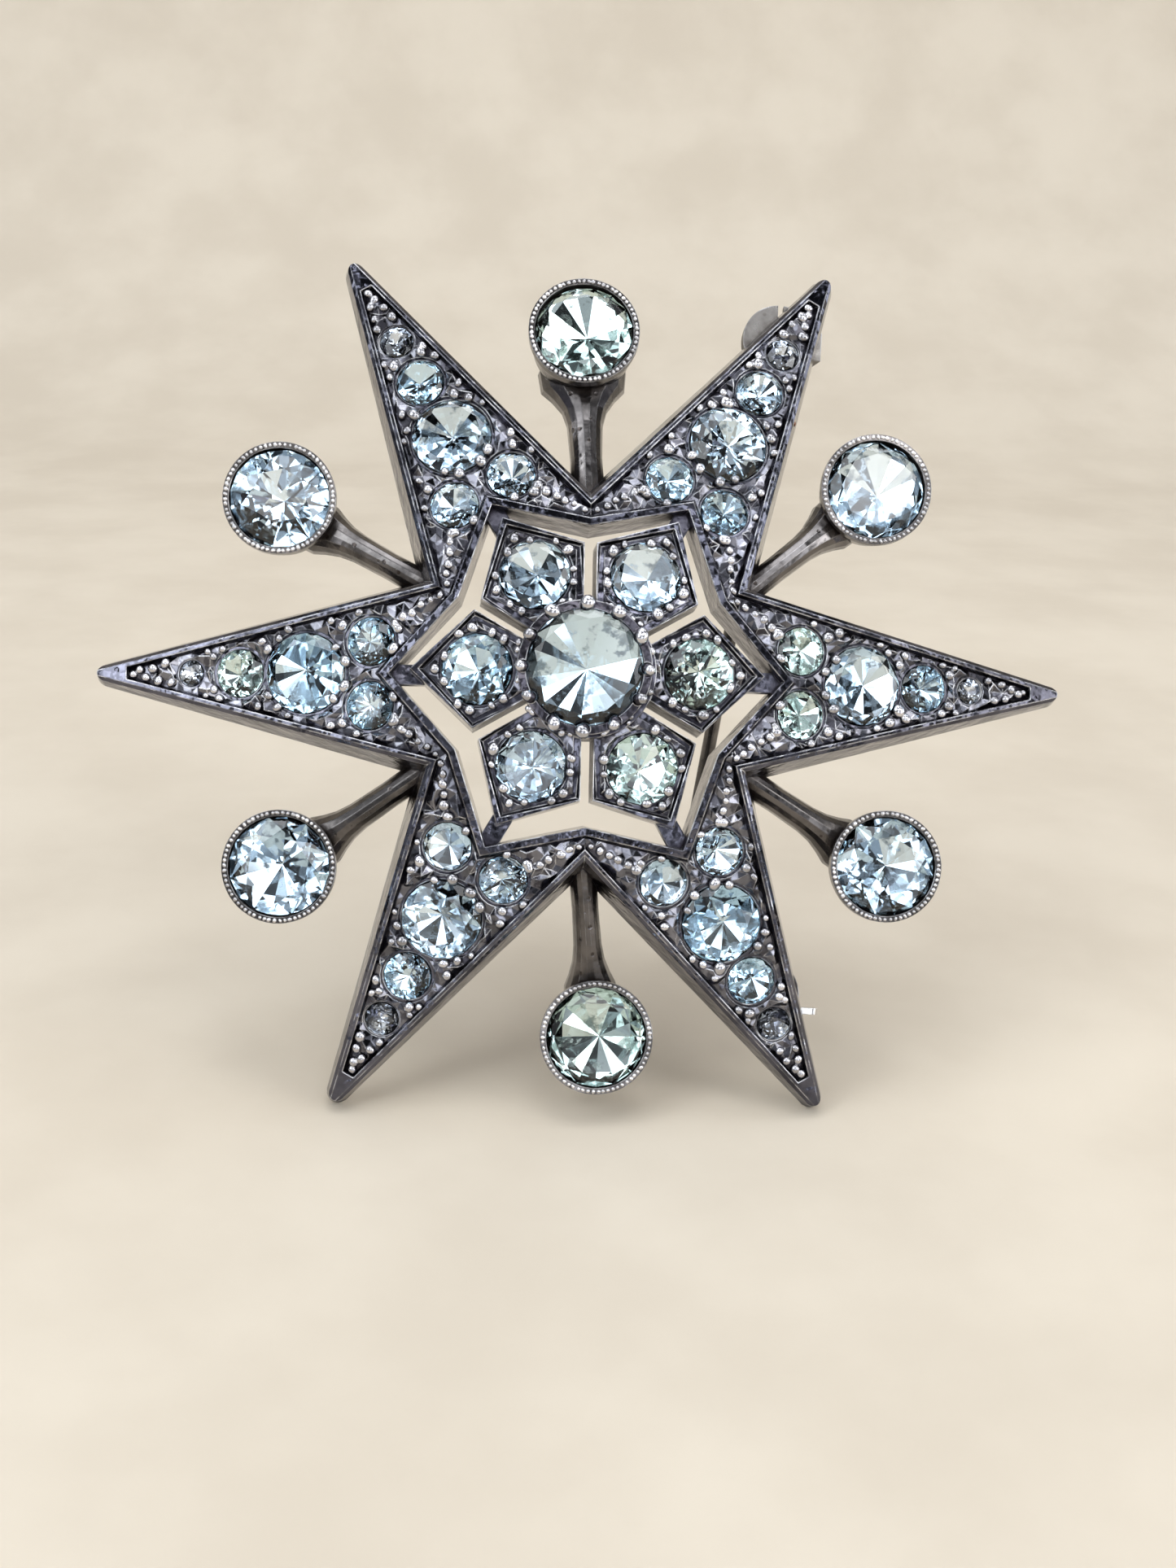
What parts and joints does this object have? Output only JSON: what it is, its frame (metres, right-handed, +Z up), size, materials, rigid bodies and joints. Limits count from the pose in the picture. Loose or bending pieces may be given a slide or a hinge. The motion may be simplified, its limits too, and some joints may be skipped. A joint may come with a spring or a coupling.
{
  "type": "star brooch",
  "caption": "Six-rayed star brooch in darkened cast silver-tone metal set with round clear pastes, with a hinged pin and a roller safety catch, standing on its open pin.",
  "frame": {"origin": "bottom centre of the whole object's box, on the ground that the two lower ray tips and the point of the open pin stand on", "axes": "+Z up, +X to the right across the face, the face towards -Y and leaning back, the opened pin standing behind it as a prop"},
  "size_m": [0.05, 0.02, 0.0403],
  "materials": {
    "oxidised_silver": "cast silver-tone metal, dark in its recesses and worn bright on its edges",
    "clear_paste": "polished faceted glass with a foiled back",
    "smoky_paste": "small faceted glass, greyed",
    "dull_nickel": "dull worn nickel silver",
    "bright_wire": "drawn wire, bright"
  },
  "bodies": {
    "brooch": {"star_frame": "oxidised_silver", "flower_plate": "oxidised_silver", "centre_setting": "oxidised_silver", "centre_stone": "clear_paste", "petal_stone_right": "clear_paste", "ray_main_stone_right": "clear_paste", "ray_pair_stone_right": "clear_paste", "ray_small_stone_right": "clear_paste", "ray_tip_stone_right": "smoky_paste", "petal_stone_upper_right": "clear_paste", "ray_main_stone_upper_right": "clear_paste", "ray_pair_stone_upper_right": "clear_paste", "ray_small_stone_upper_right": "clear_paste", "ray_tip_stone_upper_right": "smoky_paste", "petal_stone_upper_left": "clear_paste", "ray_main_stone_upper_left": "clear_paste", "ray_pair_stone_upper_left": "clear_paste", "ray_small_stone_upper_left": "clear_paste", "ray_tip_stone_upper_left": "smoky_paste", "petal_stone_left": "clear_paste", "ray_main_stone_left": "clear_paste", "ray_pair_stone_left": "clear_paste", "ray_small_stone_left": "clear_paste", "ray_tip_stone_left": "smoky_paste", "petal_stone_lower_left": "clear_paste", "ray_main_stone_lower_left": "clear_paste", "ray_pair_stone_lower_left": "clear_paste", "ray_small_stone_lower_left": "clear_paste", "ray_tip_stone_lower_left": "smoky_paste", "petal_stone_lower_right": "clear_paste", "ray_main_stone_lower_right": "clear_paste", "ray_pair_stone_lower_right": "clear_paste", "ray_small_stone_lower_right": "clear_paste", "ray_tip_stone_lower_right": "smoky_paste", "collet_upper_right": "oxidised_silver", "collet_stone_upper_right": "clear_paste", "stem_upper_right": "oxidised_silver", "collet_top": "oxidised_silver", "collet_stone_top": "clear_paste", "stem_top": "oxidised_silver", "collet_upper_left": "oxidised_silver", "collet_stone_upper_left": "clear_paste", "stem_upper_left": "oxidised_silver", "collet_lower_left": "oxidised_silver", "collet_stone_lower_left": "clear_paste", "stem_lower_left": "oxidised_silver", "collet_bottom": "oxidised_silver", "collet_stone_bottom": "clear_paste", "stem_bottom": "oxidised_silver", "collet_lower_right": "oxidised_silver", "collet_stone_lower_right": "clear_paste", "stem_lower_right": "oxidised_silver", "hinge_base": "dull_nickel", "hinge_rivet": "bright_wire", "catch_base": "dull_nickel", "catch_housing": "dull_nickel"},
    "pin": {"pin_stem": "bright_wire"},
    "roller": {"catch_roller": "dull_nickel"}
  },
  "joints": [
    {"name": "pin_swing", "type": "hinge", "parent": "brooch", "child": "pin", "pos_m": [0.0106, 0.00906, 0.03632], "axis": [-0.9771, -0.1737, 0.1232], "range_deg": [-68, 22]},
    {"name": "catch_turn", "type": "hinge", "parent": "brooch", "child": "roller", "pos_m": [0.009, -0.00413, 0.00504], "axis": [0.0471, 0.388, 0.9205], "range_deg": [0, 90]}
  ]
}
